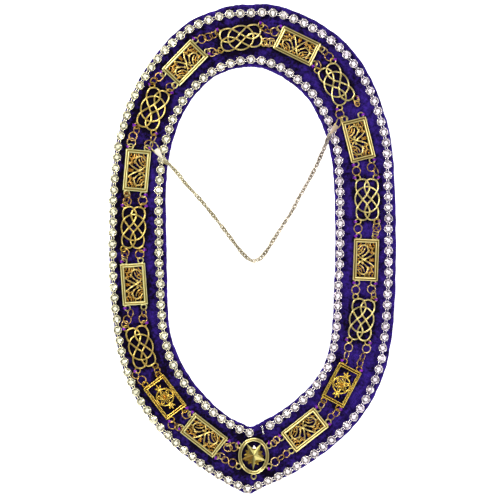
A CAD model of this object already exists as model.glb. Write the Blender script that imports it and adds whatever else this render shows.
# %% [markdown]
# # A ceremonial chain collar, dressed
#
# The collar is a loop of deep violet velvet with a pointed front. A gilt chain of pierced
# plates and knot links is sewn along its middle, strings of rhinestones edge it, and a small
# silver chain hangs across the opening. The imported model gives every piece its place, and
# this file gives each one its real form and finish.

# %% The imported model
import math
from collections import namedtuple

import bmesh
import bpy
import numpy as np
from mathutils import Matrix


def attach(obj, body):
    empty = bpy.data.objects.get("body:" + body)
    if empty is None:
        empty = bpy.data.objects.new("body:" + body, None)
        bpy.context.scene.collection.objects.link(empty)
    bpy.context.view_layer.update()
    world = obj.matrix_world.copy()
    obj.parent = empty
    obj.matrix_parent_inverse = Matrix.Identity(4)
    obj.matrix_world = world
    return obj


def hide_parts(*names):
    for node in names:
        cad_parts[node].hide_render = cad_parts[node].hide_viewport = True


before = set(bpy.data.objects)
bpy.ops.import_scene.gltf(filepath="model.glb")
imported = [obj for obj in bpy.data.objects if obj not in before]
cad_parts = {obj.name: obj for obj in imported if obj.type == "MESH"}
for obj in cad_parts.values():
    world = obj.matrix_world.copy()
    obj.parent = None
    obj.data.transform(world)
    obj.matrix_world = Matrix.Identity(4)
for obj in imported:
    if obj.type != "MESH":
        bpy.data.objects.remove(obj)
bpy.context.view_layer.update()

# %% [markdown]
# ## Sizes
#
# These are the sizes that pieces share. Places along the collar are shares of its width and
# length from its middle, with +Y towards the back of the neck, as in the model.

# %% Shared sizes
COLLAR_WIDTH = 0.270
COLLAR_LENGTH = 0.461
VELVET_TOP = 0.0027
SEAT = 0.0033
rng = np.random.default_rng(18)


def on_collar(across, along):
    """Places in metres from shares of the collar's width and length."""
    return np.stack([np.asarray(across) * COLLAR_WIDTH, np.asarray(along) * COLLAR_LENGTH], -1)


# %% [markdown]
# ## Forms as arrays
#
# A form is a set of points with four-sided and three-sided faces, kept as whole arrays. A
# tone for each face lets one material vary from stone to stone or from link to link. Arrays
# make it easy to compute a surface from a formula and to repeat it hundreds of times.

# %% Forms
Form = namedtuple("Form", "points quads triangles tones")
Part = namedtuple("Part", "form material smooth")


def form(points, quads=None, triangles=None, tone=0.5):
    """A form whose faces all have one tone, or one tone each."""
    quads = np.zeros((0, 4), int) if quads is None else np.asarray(quads)
    triangles = np.zeros((0, 3), int) if triangles is None else np.asarray(triangles)
    tones = np.broadcast_to(np.asarray(tone, float), (len(quads) + len(triangles),))
    return Form(np.asarray(points, float), quads, triangles, tones)


def grid(points, round_u=False, round_v=False):
    """Faces between neighbours of a grid of points, closed round in either direction."""
    rows, columns = points.shape[:2]
    number = np.arange(rows * columns).reshape(rows, columns)
    if round_u:
        number = np.vstack([number, number[:1]])
    if round_v:
        number = np.hstack([number, number[:, :1]])
    quads = np.stack([number[:-1, :-1], number[1:, :-1], number[1:, 1:], number[:-1, 1:]], -1)
    return form(points.reshape(-1, 3), quads.reshape(-1, 4))


def joined(forms):
    """Several forms as one."""
    starts = np.cumsum([0] + [len(f.points) for f in forms])
    quad_tones = [f.tones[:len(f.quads)] for f in forms]
    triangle_tones = [f.tones[len(f.quads):] for f in forms]
    return Form(
        np.vstack([f.points for f in forms]),
        np.vstack([f.quads + start for f, start in zip(forms, starts)]),
        np.vstack([f.triangles + start for f, start in zip(forms, starts)]),
        np.concatenate(quad_tones + triangle_tones),
    )


def copies(shape, matrices, added=0.0):
    """One copy of a form for each matrix, its tones raised by one number or one for each copy.

    A copy's points are the form's points times the matrix's turn, plus its place.
    """
    matrices = np.asarray(matrices)
    count, size = len(matrices), len(shape.points)
    added = np.broadcast_to(added, (count,))
    points = np.einsum("kij,nj->kni", matrices[:, :3, :3], shape.points)
    points = points + matrices[:, None, :3, 3]
    shift = (np.arange(count) * size)[:, None, None]
    quads = (shape.quads[None] + shift).reshape(-1, 4)
    triangles = (shape.triangles[None] + shift).reshape(-1, 3)
    split = len(shape.quads)
    quad_tones = (shape.tones[None, :split] + added[:, None]).ravel()
    triangle_tones = (shape.tones[None, split:] + added[:, None]).ravel()
    return Form(points.reshape(-1, 3), quads, triangles,
                np.concatenate([quad_tones, triangle_tones]))


def placing(place, turn=0.0, tilt=0.0, lean=0.0):
    """Matrix that leans a form about its own X, tilts it about Y, turns it about Z, moves it."""
    cz, sz = math.cos(turn), math.sin(turn)
    cy, sy = math.cos(tilt), math.sin(tilt)
    cx, sx = math.cos(lean), math.sin(lean)
    about_z = np.array([[cz, -sz, 0], [sz, cz, 0], [0, 0, 1]])
    about_y = np.array([[cy, 0, sy], [0, 1, 0], [-sy, 0, cy]])
    about_x = np.array([[1, 0, 0], [0, cx, -sx], [0, sx, cx]])
    matrix = np.eye(4)
    matrix[:3, :3] = about_z @ about_y @ about_x
    matrix[:3, 3] = place
    return matrix


def moved(shape, matrix):
    """A form turned and moved by one matrix."""
    return shape._replace(points=shape.points @ matrix[:3, :3].T + matrix[:3, 3])


def toned(shape, tone):
    """A form with one tone for all its faces."""
    return shape._replace(tones=np.full(len(shape.tones), tone))


def piece(name, parts, nodes=()):
    """Put parts into one mesh object at the origin that rides on the collar's body."""
    whole = joined([part.form for part in parts])
    counts = [(len(p.form.quads), len(p.form.triangles)) for p in parts]
    which = np.concatenate([np.full(q, k) for k, (q, _) in enumerate(counts)]
                           + [np.full(t, k) for k, (_, t) in enumerate(counts)])
    loops = np.concatenate([whole.quads.ravel(), whole.triangles.ravel()])
    sizes = np.concatenate([np.full(len(whole.quads), 4), np.full(len(whole.triangles), 3)])
    mesh = bpy.data.meshes.new(name)
    mesh.vertices.add(len(whole.points))
    mesh.vertices.foreach_set("co", whole.points.astype(np.float32).ravel())
    mesh.loops.add(len(loops))
    mesh.loops.foreach_set("vertex_index", loops.astype(np.int32))
    mesh.polygons.add(len(sizes))
    mesh.polygons.foreach_set("loop_start", (np.cumsum(sizes) - sizes).astype(np.int32))
    materials = list(dict.fromkeys(part.material for part in parts))
    for material in materials:
        mesh.materials.append(material)
    slots = np.array([materials.index(part.material) for part in parts])[which]
    mesh.polygons.foreach_set("material_index", slots.astype(np.int32))
    smooth = np.array([part.smooth for part in parts])[which]
    mesh.polygons.foreach_set("use_smooth", smooth)
    tone = mesh.attributes.new("tone", "FLOAT", "FACE")
    tone.data.foreach_set("value", whole.tones.astype(np.float32))
    mesh.update(calc_edges=True)
    mesh.validate()
    outward = bmesh.new()
    outward.from_mesh(mesh)
    bmesh.ops.recalc_face_normals(outward, faces=outward.faces)
    outward.to_mesh(mesh)
    outward.free()
    made = bpy.data.objects.new(name, mesh)
    bpy.context.scene.collection.objects.link(made)
    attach(made, "root")
    if nodes:
        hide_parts(*nodes)
    print(name, len(whole.quads) * 2 + len(whole.triangles), "triangles")
    return made


# %% [markdown]
# ## Wires and mouldings
#
# Nearly everything on the collar is wire or a moulded rim. Both are a profile carried along
# a path: at each point of the path the profile stands square to it.

# %% Paths and tubes
def circle(count):
    """Even points round a flat circle of radius 1."""
    turns = np.arange(count) * 2 * math.pi / count
    return np.stack([np.cos(turns), np.sin(turns)], -1)


def level(flat, height):
    """Flat points lifted to a height."""
    return np.column_stack([flat, np.broadcast_to(height, len(flat))])


def smooth_path(points, steps, closed):
    """Catmull-Rom curve: each span is a cubic whose slopes follow the points either side."""
    knots = np.asarray(points, float)
    if closed:
        a, b, c, d = (np.roll(knots, shift, axis=0) for shift in (1, 0, -1, -2))
    else:
        ends = np.vstack([2 * knots[:1] - knots[1:2], knots, 2 * knots[-1:] - knots[-2:-1]])
        a, b, c, d = ends[:-3], ends[1:-2], ends[2:-1], ends[3:]
    t = (np.arange(steps) / steps)[None, :, None]
    a, b, c, d = (row[:, None, :] for row in (a, b, c, d))
    curve = 0.5 * (2 * b + (c - a) * t + (2 * a - 5 * b + 4 * c - d) * t ** 2
                   + (3 * b - a - 3 * c + d) * t ** 3)
    curve = curve.reshape(-1, knots.shape[1])
    return curve if closed else np.vstack([curve, knots[-1:]])


def capped(points):
    """Stack of rings of points, each one round the last, closed at both ends by a fan."""
    rings, around = points.shape[:2]
    shape = grid(points, round_v=True)
    middles = np.stack([points[0].mean(axis=0), points[-1].mean(axis=0)])
    count = rings * around
    here = np.arange(around)
    follows = (here + 1) % around
    last = count - around
    fans = np.vstack([
        np.stack([np.full(around, count), here, follows], -1),
        np.stack([np.full(around, count + 1), last + follows, last + here], -1),
    ])
    return form(np.vstack([shape.points, middles]), shape.quads, fans)


TIP_REACH = 0.6
TIP_SHARE = 0.45


def tube(path, radius, sides, closed=False, flatten=1.0):
    """Round wire: each section is a circle of the radius, square to the path.

    The radius may be one number or one for each point. The section's height is its radius
    times the flattening. Open ends close on a point, so the wire ends in a round tip.
    """
    path = np.asarray(path, float)
    radius = np.broadcast_to(np.asarray(radius, float), (len(path),)).copy()
    if not closed:
        first, last = path[0] - path[1], path[-1] - path[-2]
        first, last = first / np.linalg.norm(first), last / np.linalg.norm(last)
        path = np.vstack([path[0] + first * radius[0] * TIP_REACH, path,
                          path[-1] + last * radius[-1] * TIP_REACH])
        radius = np.concatenate([radius[:1] * TIP_SHARE, radius, radius[-1:] * TIP_SHARE])
    ahead = np.roll(path, -1, axis=0) - np.roll(path, 1, axis=0)
    if not closed:
        ahead[0], ahead[-1] = path[1] - path[0], path[-1] - path[-2]
    ahead = ahead / np.linalg.norm(ahead, axis=1, keepdims=True)
    side = np.cross([0.0, 0.0, 1.0], ahead)
    steep = np.linalg.norm(side, axis=1) < 0.05
    side[steep] = np.cross([0.0, 1.0, 0.0], ahead[steep])
    side = side / np.linalg.norm(side, axis=1, keepdims=True)
    top = np.cross(ahead, side)
    turns = np.arange(sides) * 2 * math.pi / sides
    ring = (np.cos(turns)[None, :, None] * side[:, None]
            + flatten * np.sin(turns)[None, :, None] * top[:, None])
    points = path[:, None] + radius[:, None, None] * ring
    return grid(points, True, True) if closed else capped(points)


def torus(radius, wire, around, sides, stretch=1.0):
    """Ring of wire in the XY plane: a small circle carried round a large one."""
    path = level(circle(around) * (radius * stretch, radius), 0.0)
    return tube(path, wire / 2, sides, closed=True)


def lathe(profile, around):
    """Turned solid: (radius, height) rows turned about Z, its two ends closed flat."""
    return capped(np.array([level(radius * circle(around), height) for radius, height in profile]))


# %% [markdown]
# ## Shader maths
#
# A finish is a Principled material whose colour, roughness and bump come from a few nodes.
# A wrapped socket lets the maths be written as plain sums and products.

# %% Sockets that can be added and multiplied
class Value:
    """A number that varies over a surface; sums and products of values add Math nodes."""

    def __init__(self, nodes, socket):
        self.nodes = nodes
        self.socket = socket

    def math(self, operation, first, second=0.0):
        """One Math node."""
        return self.nodes.add("ShaderNodeMath", {"operation": operation}, {0: first, 1: second})

    def __add__(self, other):
        return self.math("ADD", self, other)

    def __radd__(self, other):
        return self.math("ADD", other, self)

    def __sub__(self, other):
        return self.math("SUBTRACT", self, other)

    def __rsub__(self, other):
        return self.math("SUBTRACT", other, self)

    def __mul__(self, other):
        return self.math("MULTIPLY", self, other)

    def clamped(self):
        """The same value kept between 0 and 1."""
        return self.math("MAXIMUM", self.math("MINIMUM", self, 1.0), 0.0)

    def spread(self, low, high):
        """0 where the value is low, 1 where it is high, straight between."""
        sockets = {"Value": self, "From Min": low, "From Max": high}
        return self.nodes.add("ShaderNodeMapRange", {"clamp": True}, sockets)


class Nodes:
    """The nodes of a material or of the world."""

    def __init__(self, owner):
        owner.use_nodes = True
        self.tree = owner.node_tree

    def feed(self, socket, value):
        """Link a value to a socket, or set the socket's own constant."""
        if isinstance(value, Value):
            self.tree.links.new(value.socket, socket)
        elif hasattr(value, "__len__") and len(value) == 3 and len(socket.default_value) == 4:
            socket.default_value = (*value, 1.0)
        else:
            socket.default_value = value

    def add(self, kind, settings=None, sockets=None, output=0):
        """Add a node, set it up, feed its sockets and return one of its outputs."""
        node = self.tree.nodes.new(kind)
        for setting, value in (settings or {}).items():
            if setting == "stops":
                self.set_ramp(node.color_ramp.elements, value)
            else:
                setattr(node, setting, value)
        for socket, value in (sockets or {}).items():
            self.feed(node.inputs[socket], value)
        return Value(self, node.outputs[output])

    def set_ramp(self, elements, stops):
        """Give a ramp its stops, each a place and a colour."""
        while len(elements) < len(stops):
            elements.new(0.5)
        for element, (place, colour) in zip(elements, stops):
            element.position = place
            element.color = (*colour, 1.0)


class Finish(Nodes):
    """A Principled material under construction."""

    def __init__(self, name, **constants):
        self.material = bpy.data.materials.new(name)
        super().__init__(self.material)
        self.shader = self.tree.nodes["Principled BSDF"]
        self.use(**constants)

    def use(self, **sockets):
        """Feed the Principled shader's own sockets."""
        for socket, value in sockets.items():
            self.feed(self.shader.inputs[socket.replace("_", " ")], value)

    def place(self):
        """Object coordinates, in metres on the collar."""
        return self.add("ShaderNodeTexCoord", output="Object")

    def axis(self, name):
        """One coordinate of the place: X, Y or Z."""
        return self.add("ShaderNodeSeparateXYZ", sockets={0: self.place()}, output=name)

    def attribute(self, name):
        """A number stored on the mesh."""
        return self.add("ShaderNodeAttribute", {"attribute_name": name}, output="Fac")

    def noise(self, size, detail=2.0, roughness=0.5):
        """Cloudy noise whose patches are about the size given, in metres."""
        sockets = {"Vector": self.place(), "Scale": 1 / size, "Detail": detail,
                   "Roughness": roughness}
        return self.add("ShaderNodeTexNoise", sockets=sockets)

    def mix(self, share, first, second, blend="MIX"):
        """Colour from first to second by a share, or first multiplied by second."""
        settings = {"data_type": "RGBA", "blend_type": blend}
        return self.add("ShaderNodeMix", settings, {0: share, 6: first, 7: second}, output=2)

    def bump(self, height, depth):
        """Raise the surface by a height from 0 to 1, up to the depth in metres."""
        sockets = {"Height": height, "Distance": depth, "Strength": 1.0}
        self.use(Normal=self.add("ShaderNodeBump", sockets=sockets))


def hue(red, green, blue):
    """Linear colour from screen values of 0 to 255."""
    screen = np.array([red, green, blue]) / 255
    linear = np.where(screen <= 0.04045, screen / 12.92, ((screen + 0.055) / 1.055) ** 2.4)
    return tuple(float(part) for part in linear)


# %% [markdown]
# ## Velvet
#
# Velvet is cloth with a cut pile. Where the pile leans one way it swallows the light and
# where it leans the other way it shows its colour, so a flat piece is mottled. Along a fold
# the pile stands open and the edge glows, and metal presses it flat and dark. The mottling
# is two scales of noise. The glow, the pressing and the lie of the pile (brighter where it
# lies towards +X) are numbers stored on the mesh. Sheen gives the bloom at grazing angles.

# %% Velvet finish
PATCH_SIZE = 0.011
TUFT_SIZE = 0.0030
FIBRE_SIZE = 0.0005
PILE_DEPTH = 0.0007


def velvet_finish():
    """Deep blue violet pile, mottled, with bright folds."""
    velvet = Finish("velvet", Roughness=0.85, Sheen_Weight=0.12, Sheen_Roughness=0.35)
    velvet.use(Sheen_Tint=hue(120, 90, 255), Specular_IOR_Level=0.1)
    patches = velvet.noise(PATCH_SIZE, 3.0, 0.6).spread(0.36, 0.66)
    tufts = velvet.noise(TUFT_SIZE, 4.0, 0.72).spread(0.36, 0.66)
    fibres = velvet.noise(FIBRE_SIZE, 1.0, 0.6)
    pressed = velvet.attribute("pressed")
    nap = velvet.attribute("nap")
    lean = (patches * 0.55 + tufts * 0.65 - 0.24 + nap - pressed * 0.35).clamped()
    field = velvet.mix(lean, hue(9, 1, 24), hue(62, 38, 148))
    fold = velvet.attribute("fold")
    glow = (fold * (0.05 + tufts * 0.40)).clamped()
    velvet.use(Base_Color=velvet.mix(glow, field, hue(80, 50, 180)))
    velvet.bump(tufts * 0.7 + fibres * 0.3, PILE_DEPTH)
    return velvet.material


VELVET = velvet_finish()

# %% [markdown]
# ## Metals
#
# The castings are brass with pale gilding, bright on the high edges and olive in the hollows.
# Each face carries a tone, so hollows can be darkened where they were modelled. The filigree
# inside the plates is a redder gold, the jump rings are rose gold, and the small chain and
# the stones' cups are silver. Nearly all have yellowed more at the collar's left. A clouded
# finish multiplies its colour by a warm one there. Frames and silver, whose shine is even,
# have a dark and a light colour of their own at each side.

# %% Metal finishes
WARM_PLATING = hue(250, 224, 122)
WARM_SPAN = (-0.11, 0.05)
SIDE_SPAN = (-0.10, 0.09)
CLOUD_SIZE = 0.0035
GRAIN_SIZE = 0.0006
PLATING_DEPTH = 0.00004


def metal_finish(name, hollow, plain, bright, roughness, warmth=0.5):
    """Polished plating: colour by the face's tone, with faint clouding and casting grain.

    The plating is deeper and warmer towards the left of the collar.
    """
    metal = Finish(name, Metallic=1.0)
    tone = metal.attribute("tone")
    cloud = metal.noise(CLOUD_SIZE, 3.0, 0.6)
    grain = metal.noise(GRAIN_SIZE, 2.0, 0.6)
    shade = tone + (cloud - 0.5) * 0.35
    low = metal.mix(shade.spread(0.05, 0.5), hollow, plain)
    colour = metal.mix(shade.spread(0.5, 0.95), low, bright)
    left = (1 - metal.axis("X").spread(*WARM_SPAN)) * warmth
    metal.use(Base_Color=metal.mix(left, colour, WARM_PLATING, "MULTIPLY"))
    metal.use(Roughness=roughness + (grain - 0.5) * 0.16)
    metal.bump(grain * 0.5 + cloud * 0.5, PLATING_DEPTH)
    return metal.material


def sided_metal(name, left, right, roughness=0.26, metallic=1.0):
    """Metal whose tone runs from a dark to a light colour, one pair for each side."""
    metal = Finish(name, Metallic=metallic, Roughness=roughness)
    tone = metal.attribute("tone").spread(0.0, 1.0)
    side = metal.axis("X").spread(*SIDE_SPAN)
    dark = metal.mix(side, left[0], right[0])
    light = metal.mix(side, left[1], right[1])
    metal.use(Base_Color=metal.mix(tone, dark, light))
    return metal.material


GILT = metal_finish("gilt", hue(82, 58, 14), hue(198, 172, 84), hue(240, 222, 150), 0.28)
FRAME_GILT = sided_metal("frame_gilt", (hue(150, 124, 24), hue(255, 248, 176)),
                         (hue(104, 80, 20), hue(244, 224, 150)), 0.28)
STAR_COLOURS = (hue(76, 52, 14), hue(232, 222, 138))
STAR_GILT = sided_metal("star_gilt", STAR_COLOURS, STAR_COLOURS, 0.42)
DEEP_GILT = metal_finish("deep_gilt", hue(104, 70, 10), hue(198, 154, 44), hue(240, 212, 108),
                         0.26, 0.1)
FILIGREE = metal_finish("filigree_gilt", hue(126, 54, 12), hue(194, 136, 48),
                        hue(236, 212, 132), 0.28, 0.15)
ROSE = metal_finish("ring_gilt", hue(112, 62, 28), hue(216, 180, 114), hue(248, 230, 184), 0.27,
                    0.3)
SILVER = metal_finish("silver", hue(96, 90, 78), hue(214, 206, 184), hue(255, 252, 244), 0.24,
                      0.1)

# %% [markdown]
# ## Rhinestones
#
# A rhinestone is cut glass with a mirror foil behind, so each facet throws back either a lamp
# or the dark. The stone is modelled with its facets, as mirror-bright glass, and each facet
# has its own tone. The old foil is warmer at the left of the collar and cooler at the right.

# %% Stone and silver finishes
def stone_finish():
    """Foiled glass: facets from smoke grey to white, warmer to the left."""
    stone = Finish("rhinestone", Metallic=0.8, Roughness=0.16, Coat_Weight=0.5)
    stone.use(Coat_Roughness=0.03, Emission_Strength=0.26)
    tone = stone.attribute("tone").spread(0.0, 1.0)
    side = stone.axis("X").spread(*SIDE_SPAN)
    dark = stone.mix(side, hue(210, 204, 166), hue(206, 190, 204))
    light = stone.mix(side, hue(255, 251, 218), hue(255, 243, 253))
    stone.use(Base_Color=stone.mix(tone, dark, light))
    stone.use(Emission_Color=stone.mix(tone.spread(0.45, 1.0), (0.0, 0.0, 0.0), light))
    return stone.material


STONE = stone_finish()
CUP = sided_metal("cup_silver", (hue(110, 102, 76), hue(250, 244, 216)),
                  (hue(100, 92, 98), hue(246, 238, 242)))
CHAIN_SILVER = sided_metal("chain_silver", (hue(164, 150, 96), hue(240, 235, 204)),
                           (hue(116, 102, 92), hue(222, 209, 198)), 0.32, 0.85)
TAB_SILVER = sided_metal("tab_silver", (hue(200, 192, 168), hue(246, 240, 222)),
                         (hue(120, 98, 82), hue(214, 188, 160)), 0.45, 0.3)


# %% [markdown]
# ## The velvet band
#
# The band is card covered in velvet that is folded round its edges. Its outline runs through
# the same stations as the model's, in shares of the collar's size. A section through it is a
# nearly flat top between two rolled folds. Stitches along the edges draw the cloth in a
# little at a time, which shows as small puckers, so the folds swell and sink along their
# run. Cloth simulation would move the edges off the stations, so waves do it here.

# %% Outline of the band
Station = namedtuple(
    "Station", "outer_across outer_along inner_across inner_along outer_trim inner_trim")
BAND_STATIONS = [Station(*row) for row in (
    (-0.006, 0.500, -0.006, 0.372, 0.15, 0.89), (0.067, 0.500, 0.036, 0.369, 0.14, 0.89),
    (0.165, 0.482, 0.091, 0.355, 0.13, 0.89), (0.263, 0.451, 0.147, 0.333, 0.13, 0.90),
    (0.343, 0.410, 0.196, 0.304, 0.13, 0.90), (0.409, 0.353, 0.231, 0.267, 0.11, 0.89),
    (0.455, 0.286, 0.257, 0.229, 0.10, 0.89), (0.483, 0.222, 0.275, 0.182, 0.10, 0.89),
    (0.495, 0.141, 0.284, 0.124, 0.12, 0.91), (0.500, 0.049, 0.287, 0.049, 0.13, 0.92),
    (0.500, -0.027, 0.287, -0.018, 0.13, 0.93), (0.496, -0.110, 0.282, -0.094, 0.13, 0.93),
    (0.484, -0.186, 0.277, -0.157, 0.13, 0.93), (0.458, -0.255, 0.259, -0.220, 0.12, 0.93),
    (0.406, -0.320, 0.217, -0.267, 0.11, 0.93), (0.336, -0.373, 0.161, -0.302, 0.11, 0.92),
    (0.242, -0.420, 0.098, -0.331, 0.10, 0.91), (0.140, -0.459, 0.043, -0.349, 0.08, 0.89),
    (0.046, -0.484, 0.013, -0.359, 0.07, 0.90), (-0.013, -0.500, -0.010, -0.363, 0.08, 0.92),
    (-0.066, -0.488, -0.032, -0.358, 0.08, 0.91), (-0.160, -0.455, -0.094, -0.339, 0.07, 0.91),
    (-0.261, -0.410, -0.160, -0.304, 0.07, 0.89), (-0.341, -0.361, -0.218, -0.263, 0.06, 0.87),
    (-0.408, -0.306, -0.259, -0.220, 0.06, 0.86), (-0.450, -0.249, -0.286, -0.176, 0.06, 0.87),
    (-0.476, -0.188, -0.295, -0.135, 0.06, 0.88), (-0.492, -0.114, -0.298, -0.084, 0.06, 0.88),
    (-0.500, -0.027, -0.300, -0.018, 0.06, 0.87), (-0.499, 0.049, -0.302, 0.049, 0.06, 0.87),
    (-0.495, 0.120, -0.303, 0.116, 0.06, 0.87), (-0.481, 0.202, -0.296, 0.173, 0.06, 0.88),
    (-0.453, 0.269, -0.280, 0.218, 0.06, 0.88), (-0.404, 0.339, -0.251, 0.267, 0.07, 0.88),
    (-0.331, 0.404, -0.205, 0.312, 0.09, 0.90), (-0.230, 0.462, -0.139, 0.350, 0.12, 0.91),
    (-0.122, 0.490, -0.073, 0.367, 0.13, 0.91), (-0.059, 0.499, -0.034, 0.371, 0.15, 0.90),
)]
band_rows = smooth_path(BAND_STATIONS, 18, closed=True)
outer_edge = on_collar(band_rows[:, 0], band_rows[:, 1])
inner_edge = on_collar(band_rows[:, 2], band_rows[:, 3])
outer_line = outer_edge + band_rows[:, 4:5] * (inner_edge - outer_edge)
inner_line = outer_edge + band_rows[:, 5:6] * (inner_edge - outer_edge)


# %% Puckers and the band's section
def puckers(count, waves, seed):
    """Sum of waves round the loop: each a cosine with a whole number of turns and a phase."""
    phases = np.random.default_rng(seed).uniform(0, 2 * math.pi, len(waves))
    run = np.arange(count) * 2 * math.pi / count
    rows = [size * np.cos(turns * run + phase) for (turns, size), phase in zip(waves, phases)]
    return np.sum(rows, axis=0)


EDGE_WAVES = ((37, 0.30), (61, 0.25), (88, 0.22), (119, 0.20))
FIELD_WAVES = ((11, 0.5), (23, 0.35), (41, 0.25))
FOLD_RADIUS = 0.00135
FOLD_SWELL = 0.00020
FOLD_SECTIONS = 9
OUTER_PULL = 0.00045
INNER_PULL = 0.00040
FIELD_SECTIONS = 23
SECTIONS_PER_WAVE = 6
WAVE_HEIGHT = 0.00010
PUCKER_HEIGHT = 0.00022
PUCKER_FADE = 0.004
SAG_DEPTH = 0.00028
SAG_PLACE = 0.005
SAG_SPREAD = 0.0022
GLOW_SPREAD = 0.0011
NAP_ACROSS = 0.20
NAP_SLOPE = 0.10
NAP_ALONG = 0.06


def rolled_fold(pull, seed):
    """Distance in from the edge and height: half a circle, pulled in and swollen on top."""
    count = len(outer_edge)
    turns = np.radians(np.linspace(-90, 90, FOLD_SECTIONS))[:, None]
    swell = FOLD_SWELL * (1 + puckers(count, EDGE_WAVES, seed))
    distance = FOLD_RADIUS * (1 - np.cos(turns)) + pull * np.cos(turns)
    height = FOLD_RADIUS * (1 + np.sin(turns)) + swell * np.maximum(np.sin(turns), 0)
    return distance, height


def band_sections(reach):
    """Distance from the outer edge, height and fold share: fold, nearly flat top, fold.

    The top sags beside each fold by e to the minus square of the distance from the sag's
    place, and carries long waves all over and short ones that fade away from the edges.
    """
    count = len(reach)
    outer_pull = puckers(count, EDGE_WAVES, 3) * OUTER_PULL
    inner_pull = puckers(count, EDGE_WAVES, 4) * INNER_PULL
    outer_distance, outer_height = rolled_fold(outer_pull, 5)
    inner_distance, inner_height = rolled_fold(inner_pull, 6)
    shares = np.linspace(0, 1, FIELD_SECTIONS + 2)[1:-1, None]
    along = FOLD_RADIUS + shares * (reach - 2 * FOLD_RADIUS)
    nearest = np.minimum(along, reach - along)
    sag = SAG_DEPTH * np.exp(-((nearest - SAG_PLACE) / SAG_SPREAD) ** 2)
    waves = WAVE_HEIGHT * np.array([puckers(count, FIELD_WAVES, 20 + k // SECTIONS_PER_WAVE)
                                    for k in range(FIELD_SECTIONS)])
    short = PUCKER_HEIGHT * puckers(count, EDGE_WAVES, 7) * np.exp(-nearest / PUCKER_FADE)
    glow = np.exp(-((nearest - FOLD_RADIUS) / GLOW_SPREAD) ** 2)
    distance = np.vstack([outer_distance, along, reach - inner_distance[::-1]])
    height = np.vstack([outer_height, VELVET_TOP - sag + waves + short, inner_height[::-1]])
    edge = np.ones_like(outer_height)
    return distance.T, height.T, np.vstack([edge, glow, edge]).T


def store(made, name, values):
    """Keep one number on each point of a piece, for its material to read."""
    made.data.attributes.new(name, "FLOAT", "POINT").data.foreach_set(
        "value", values.astype(np.float32).ravel())


def velvet_band():
    """Closed loop of sections, each stood across the band from its outer to its inner edge."""
    reach = np.linalg.norm(inner_edge - outer_edge, axis=1)
    inward = (inner_edge - outer_edge) / reach[:, None]
    distance, height, fold = band_sections(reach)
    flat = outer_edge[:, None] + inward[:, None] * distance[..., None]
    points = np.concatenate([flat, height[..., None]], -1)
    made = piece("velvet_cover", [Part(grid(points, True, True), VELVET, True)],
                 ["velvet_band"])
    share = distance / reach[:, None]
    across, along = -inward[:, :1], np.abs(inward[:, 1:])
    store(made, "fold", fold)
    nap = NAP_ACROSS * across * (1 - share) + NAP_SLOPE * np.abs(across) * share
    store(made, "nap", nap - NAP_ALONG * along)
    runs = [np.linalg.norm(np.roll(edge, -1, 0) - edge, axis=1) for edge in (outer_edge, inner_edge)]
    area = float(np.sum(reach * (runs[0] + runs[1]))) / 2
    print("band area", round(area, 4), "of", np.ptp(np.vstack([outer_edge, inner_edge]), axis=0))
    return made, area


band, band_area = velvet_band()


# %% [markdown]
# ## Castings
#
# Eighteen castings follow one another round the collar. Each is made about its own middle,
# with +X along the chain and +Y to the outside, and then turned and moved to its place.
# Sizes inside a casting are in millimetres, which keeps the short tables readable.

# %% Places of the castings
MM = 0.001
Place = namedtuple("Place", "kind across along turn")
ORNAMENTS = (
    Place("knot", -0.042, 0.431, 9),
    Place("scroll_plate", 0.154, 0.414, -26),
    Place("knot", 0.291, 0.336, -59),
    Place("scroll_plate", 0.368, 0.223, -76),
    Place("knot", 0.398, 0.101, -89),
    Place("scroll_plate", 0.394, -0.022, -92),
    Place("knot", 0.379, -0.144, -98),
    Place("emblem_plate", 0.309, -0.277, -118),
    Place("scroll_plate", 0.181, -0.369, -142),
    Place("medallion", 0.003, -0.422, 180),
    Place("scroll_plate", -0.170, -0.380, 142),
    Place("emblem_plate", -0.306, -0.302, 127),
    Place("knot", -0.390, -0.200, 105),
    Place("scroll_plate", -0.414, -0.072, 94),
    Place("knot", -0.416, 0.044, 88),
    Place("scroll_plate", -0.404, 0.160, 85),
    Place("knot", -0.348, 0.286, 69),
    Place("scroll_plate", -0.236, 0.380, 46),
)
Cast = namedtuple("Cast", "length width ear_along ear_across")
CASTS = {
    "knot": Cast(41.8, 25.6, 20.58, 8.70),
    "scroll_plate": Cast(39.1, 23.6, 21.95, 7.73),
    "emblem_plate": Cast(36.6, 23.6, 20.70, 7.73),
    "medallion": Cast(29.2, 34.4, 14.40, 9.80),
}
EAR_REACH = 2.55
EAR_WIRE = 1.30
EAR_HEIGHT = 1.30
EAR_NECK = ((-3.6, 0, -0.55), (-2.6, 0, -0.1))
NECK_RADIUS = 0.80
EAR_LEAN = 7


def seat(place):
    """Matrix from a casting's own middle to its place on the velvet."""
    x, y = on_collar(place.across, place.along)
    return placing((x, y, SEAT), math.radians(place.turn))


def at(x, y, z=0.0, turn=0.0, tilt=0.0, lean=0.0):
    """A placing inside a casting, in millimetres and degrees."""
    return placing((x * MM, y * MM, z * MM), math.radians(turn), math.radians(tilt),
                   math.radians(lean))


# %% [markdown]
# ### Frames
#
# A frame is a moulding carried round an outline. The moulding is a table of rows from the
# outside in, each with its inset, its height and the tone it has been polished or tarnished
# to: bright on a ridge, dark in a groove.

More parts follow.
